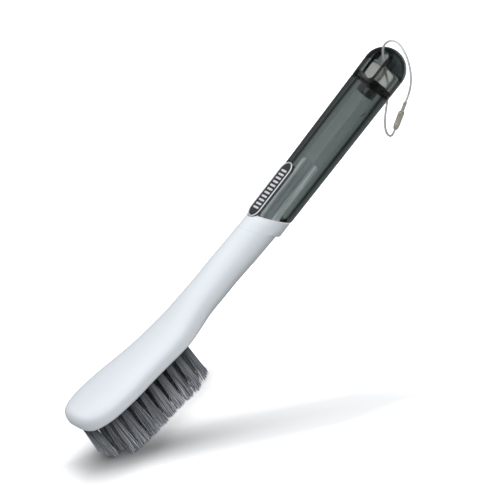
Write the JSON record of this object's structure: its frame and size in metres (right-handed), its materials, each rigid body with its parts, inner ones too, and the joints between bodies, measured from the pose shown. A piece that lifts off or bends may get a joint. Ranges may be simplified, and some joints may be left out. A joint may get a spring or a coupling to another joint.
{
  "type": "shoe brush",
  "caption": "Shoe cleaning brush with an oval head of stiff nylon tufts, a clear tube handle with a domed end, and a wire hanging loop with a screw barrel.",
  "frame": {"origin": "under the middle of the brush's length, on the plane of the bristle tips", "axes": "+X along the head towards the end cap, +Y across the head, +Z from the bristle tips up to the top of the head"},
  "size_m": [0.2803, 0.0582, 0.0872],
  "materials": {
    "white_plastic": "smooth gloss moulding",
    "smoke_plastic": "clear, tinted smoke grey, polished",
    "badge_chrome": "bright plated",
    "badge_dark": "dark plate with bright raised bars",
    "foam_pad": "adhesive foam",
    "grey_nylon": "stiff nylon filament",
    "wire_rope": "stranded steel rope",
    "plated_steel": "dull plated steel"
  },
  "bodies": {
    "brush": {"badge_bezel": "badge_chrome", "badge_pad": "foam_pad", "badge_plate": "badge_dark", "end_cap": "smoke_plastic", "handle_tube": "smoke_plastic", "head_and_neck": "white_plastic", "tuft_1_01": "grey_nylon", "tuft_1_02": "grey_nylon", "tuft_1_03": "grey_nylon", "tuft_1_04": "grey_nylon", "tuft_1_05": "grey_nylon", "tuft_1_06": "grey_nylon", "tuft_1_07": "grey_nylon", "tuft_1_08": "grey_nylon", "tuft_1_09": "grey_nylon", "tuft_2_01": "grey_nylon", "tuft_2_02": "grey_nylon", "tuft_2_03": "grey_nylon", "tuft_2_04": "grey_nylon", "tuft_2_05": "grey_nylon", "tuft_2_06": "grey_nylon", "tuft_2_07": "grey_nylon", "tuft_2_08": "grey_nylon", "tuft_2_09": "grey_nylon", "tuft_3_01": "grey_nylon", "tuft_3_02": "grey_nylon", "tuft_3_03": "grey_nylon", "tuft_3_04": "grey_nylon", "tuft_3_05": "grey_nylon", "tuft_3_06": "grey_nylon", "tuft_3_07": "grey_nylon", "tuft_3_08": "grey_nylon", "tuft_3_09": "grey_nylon", "tuft_3_10": "grey_nylon", "tuft_4_01": "grey_nylon", "tuft_4_02": "grey_nylon", "tuft_4_03": "grey_nylon", "tuft_4_04": "grey_nylon", "tuft_4_05": "grey_nylon", "tuft_4_06": "grey_nylon", "tuft_4_07": "grey_nylon", "tuft_4_08": "grey_nylon", "tuft_4_09": "grey_nylon", "tuft_5_01": "grey_nylon", "tuft_5_02": "grey_nylon", "tuft_5_03": "grey_nylon", "tuft_5_04": "grey_nylon", "tuft_5_05": "grey_nylon", "tuft_5_06": "grey_nylon", "tuft_5_07": "grey_nylon", "tuft_5_08": "grey_nylon", "tuft_5_09": "grey_nylon"},
    "loop": {"plain_ferrule": "plated_steel", "threaded_ferrule": "plated_steel", "wire_cable": "wire_rope"},
    "barrel": {"screw_barrel": "plated_steel"}
  },
  "joints": [
    {"name": "loop_swing", "type": "hinge", "parent": "brush", "child": "loop", "pos_m": [0.1259, 0.0065, 0.0522], "axis": [0.1187, -0.5552, 0.8232], "range_deg": [-15, 262]},
    {"name": "barrel_turn", "type": "hinge", "parent": "loop", "child": "barrel", "pos_m": [0.1066, -0.0224, 0.0424], "axis": [0.7325, -0.2796, 0.6207], "continuous": true}
  ]
}
